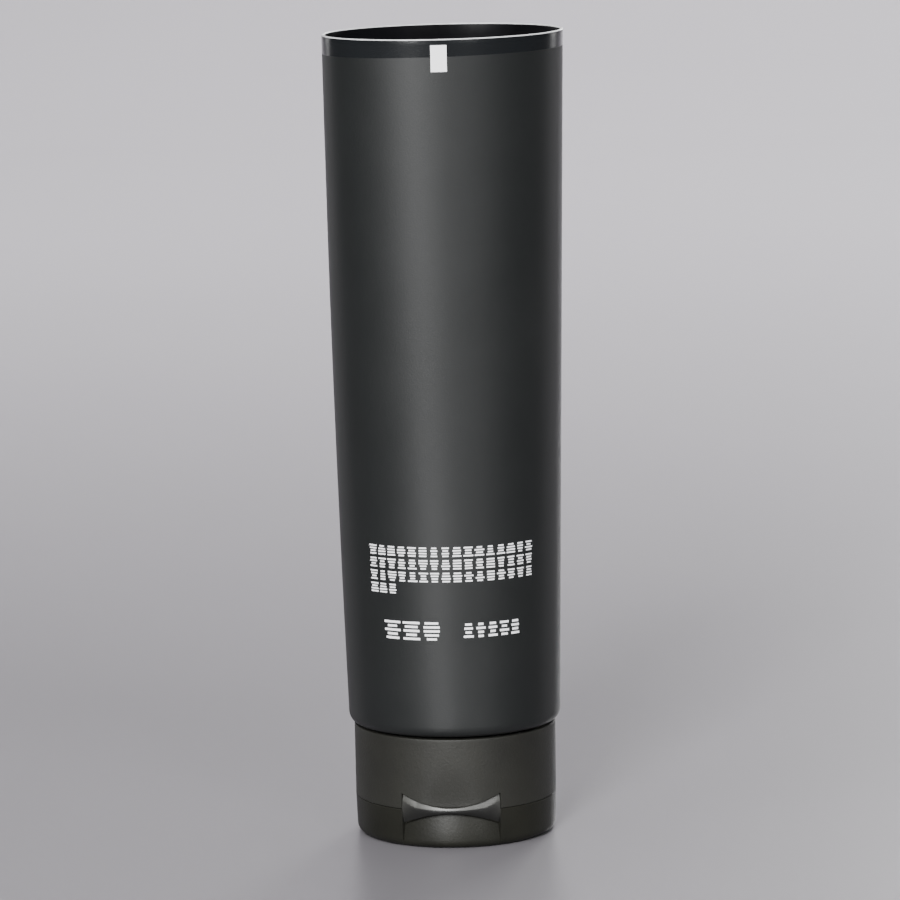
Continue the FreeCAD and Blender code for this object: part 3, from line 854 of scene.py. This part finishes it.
# ---- build ----------------------------------------------------------------
SLEEVE_FINISH = sleeve_finish()
CUT_EDGE_AND_HIGHLIGHT = cut_edge_and_highlight()
# Inside of the sleeve: its colour is darker than the bare skin outside, as painted shade inside the
# tube.
SLEEVE_INSIDE_PAINTED_SHADE = moulded_plastic("sleeve_inside_painted_shade", (0.003, 0.003, 0.0035), (0.005, 0.005, 0.006),
                                0.20, 0.28, 800.0, 0.003 * MM, specular=0.2)
WHITE_INK = white_ink()
CAP_PLASTIC = moulded_plastic("cap_plastic", (0.010, 0.010, 0.008), (0.015, 0.015, 0.012),
                              0.50, 0.62, 2000.0, 0.045 * MM)
LID_PLASTIC = moulded_plastic("lid_plastic", (0.010, 0.010, 0.008), (0.014, 0.014, 0.011),
                              0.40, 0.47, 2000.0, 0.03 * MM, specular=0.17)
TAB_GLOSS_AND_PAINTED_LIGHT = tab_gloss_and_painted_light()
HEAD_PLASTIC = moulded_plastic("head_plastic", (0.02, 0.02, 0.02), (0.03, 0.03, 0.03),
                               0.3, 0.4, 1500.0, 0.004 * MM)
LINER_FOAM = moulded_plastic("liner_foam", (0.68, 0.68, 0.66), (0.78, 0.78, 0.76),
                             0.6, 0.8, 2500.0, 0.03 * MM)


def place_sleeve():
    """Varnish outside, plain skin inside darkened as painted shade, and the pale cut edge round the
    mouth, its paleness mostly a painted highlight.
    """
    sleeve = make_sleeve()
    for finish in (SLEEVE_FINISH, SLEEVE_INSIDE_PAINTED_SHADE, CUT_EDGE_AND_HIGHLIGHT):
        sleeve.data.materials.append(finish)
    for face in sleeve.data.polygons:
        centre = face.center
        outward = centre.x * face.normal.x + centre.y * face.normal.y
        # The faces just below the mouth take the pale cut-edge colour, mostly a painted highlight
        # along the rim.
        if centre.z > MOUTH_Z - CUT_EDGE_AND_HIGHLIGHT_H:
            face.material_index = 2
        elif outward < 0:
            face.material_index = 1
    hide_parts("tube_sleeve")
    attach(sleeve, "tube")


def place_print():
    for piece in (make_notice(WHITE_INK), make_volume_line(WHITE_INK), make_eye_mark()):
        piece.data.materials.clear()
        piece.data.materials.append(WHITE_INK)
        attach(piece, "tube")


def place_cap():
    base = make_base()
    base.data.materials.clear()
    base.data.materials.append(CAP_PLASTIC)
    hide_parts("cap_base")
    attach(base, "cap")
    lid = make_lid()
    lid.data.materials.clear()
    lid.data.materials.append(LID_PLASTIC)
    lid.data.materials.append(TAB_GLOSS_AND_PAINTED_LIGHT)
    for face in lid.data.polygons:
        x, y, z = face.center
        in_front = y < 0 and abs(x) < NOTCH_HALF_W
        if in_front and math.hypot(x, y) > SEAM_R - TAB_T and z > land_low_z(x):
            face.material_index = 1
    # Per-point share of the tab's painted highlight, read by its material
    painted_light = lid.data.attributes.new("painted_light", "FLOAT", "POINT")
    for vertex, value in zip(lid.data.vertices, painted_light.data):
        x, y, z = vertex.co
        if y < 0 and abs(x) < NOTCH_HALF_W + SIDE_PLAY:
            value.value = painted_light_share(min(abs(x), NOTCH_HALF_W), z)
    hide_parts("lid_shell")
    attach(lid, "lid")


def place_hinge():
    strips = {"hinge_strap_left": ("film_left", STRAP_DIP),
              "hinge_strap_right": ("film_right", STRAP_DIP),
              "hinge_spring": ("spring_strip", SPRING_DIP)}
    for node, (name, thinner) in strips.items():
        low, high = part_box(node)
        strip = make_hinge_strip(name, low, high, thinner)
        strip.data.materials.append(CAP_PLASTIC)
        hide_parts(node)
        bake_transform(strip)


def dress_cad_nodes():
    """Finishes for the CAD nodes that are shown as they are."""
    finishes = {"tube_head": HEAD_PLASTIC, "neck_seal_ring": LINER_FOAM}
    for name in ("cap_collar", "cap_socket", "cap_spout", "cap_ribs", "lid_plug", "lid_seal_ring"):
        finishes[name] = LID_PLASTIC if name.startswith("lid") else CAP_PLASTIC
    for name, finish in finishes.items():
        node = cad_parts[name]
        node.data.materials.clear()
        node.data.materials.append(finish)


# ---- stage ----------------------------------------------------------------
AIM = Vector((0, 0, 72.5 * MM))
CAMERA_FAR = 1.080
CAMERA_AZIMUTH = math.radians(3.4)
CAMERA_RISE = math.radians(9.05)
CAMERA_ROLL = math.radians(1.05)
LENS_MM = 230.0
FLOOR_HALF_W = 3.0
FLOOR_FLAT_TO = 1.2         # where the floor starts to curve up, in metres behind the tube
FLOOR_BEND_R = 0.8
BACKDROP_TOP = 3.5
BACKDROP_AIM = Vector((0.0, 2.2, 0.3))


def make_camera():
    flat = math.cos(CAMERA_RISE) * CAMERA_FAR
    place = AIM + Vector((flat * math.sin(CAMERA_AZIMUTH), -flat * math.cos(CAMERA_AZIMUTH),
                          CAMERA_FAR * math.sin(CAMERA_RISE)))
    lens = bpy.data.cameras.new("camera")
    lens.lens = LENS_MM
    lens.sensor_width = 36.0
    lens.clip_start = 0.01
    lens.clip_end = 20.0
    camera = bpy.data.objects.new("camera", lens)
    bpy.context.scene.collection.objects.link(camera)
    facing = (AIM - place).to_track_quat("-Z", "Y").to_matrix().to_4x4()
    camera.matrix_world = Matrix.Translation(place) @ facing @ Matrix.Rotation(-CAMERA_ROLL, 4, "Z")
    bpy.context.scene.camera = camera


def make_floor():
    """Floor that curves up into a backdrop far behind the tube."""
    profile = [(-FLOOR_HALF_W, 0.0), (FLOOR_FLAT_TO, 0.0)]
    profile += arc(FLOOR_FLAT_TO, FLOOR_BEND_R, FLOOR_BEND_R, FLOOR_BEND_R, -90, 0, 15)[1:]
    profile += [(FLOOR_FLAT_TO + FLOOR_BEND_R, BACKDROP_TOP)]
    bm = bmesh.new()
    left = [bm.verts.new((-FLOOR_HALF_W, y, z)) for y, z in profile]
    right = [bm.verts.new((FLOOR_HALF_W, y, z)) for y, z in profile]
    for i in range(len(profile) - 1):
        face = bm.faces.new((left[i], right[i], right[i + 1], left[i + 1]))
        face.smooth = True
    floor = new_piece("floor", mesh_from(bm, "floor"))
    floor.data.materials.append(floor_finish())


def make_light(name, place, width, height, watts, aim=AIM):
    lamp = bpy.data.lights.new(name, "AREA")
    lamp.shape = "RECTANGLE"
    lamp.size = width
    lamp.size_y = height
    lamp.energy = watts
    light = bpy.data.objects.new(name, lamp)
    bpy.context.scene.collection.objects.link(light)
    facing = (aim - Vector(place)).to_track_quat("-Z", "Y").to_matrix().to_4x4()
    light.matrix_world = Matrix.Translation(Vector(place)) @ facing


def make_world():
    world = bpy.data.worlds.new("room")
    world.use_nodes = True
    background = world.node_tree.nodes["Background"]
    background.inputs["Color"].default_value = (0.85, 0.87, 0.9, 1)
    background.inputs["Strength"].default_value = 0.03
    bpy.context.scene.world = world


place_sleeve()
place_print()
place_cap()
place_hinge()
dress_cad_nodes()
make_camera()
make_floor()
make_world()
make_light("front_light", (-0.30, -1.60, 0.85), 0.42, 0.9, 71)
make_light("fill_light", (0.85, -1.3, 0.75), 0.5, 0.8, 12)
make_light("high_left_light", (-1.0, -0.75, 1.35), 0.35, 0.35, 5)
make_light("top_light", (0.0, 0.1, 1.6), 1.0, 0.6, 11)
make_light("right_light", (1.2, 0.9, 0.35), 0.3, 1.0, 2.5)
make_light("left_light", (-1.2, 0.9, 0.35), 0.3, 1.0, 2.0)
make_light("back_light", (0.45, 1.55, 0.8), 0.42, 0.9, 24)
make_light("backdrop_light", (0.0, 0.7, 1.1), 1.6, 0.3, 112, aim=BACKDROP_AIM)
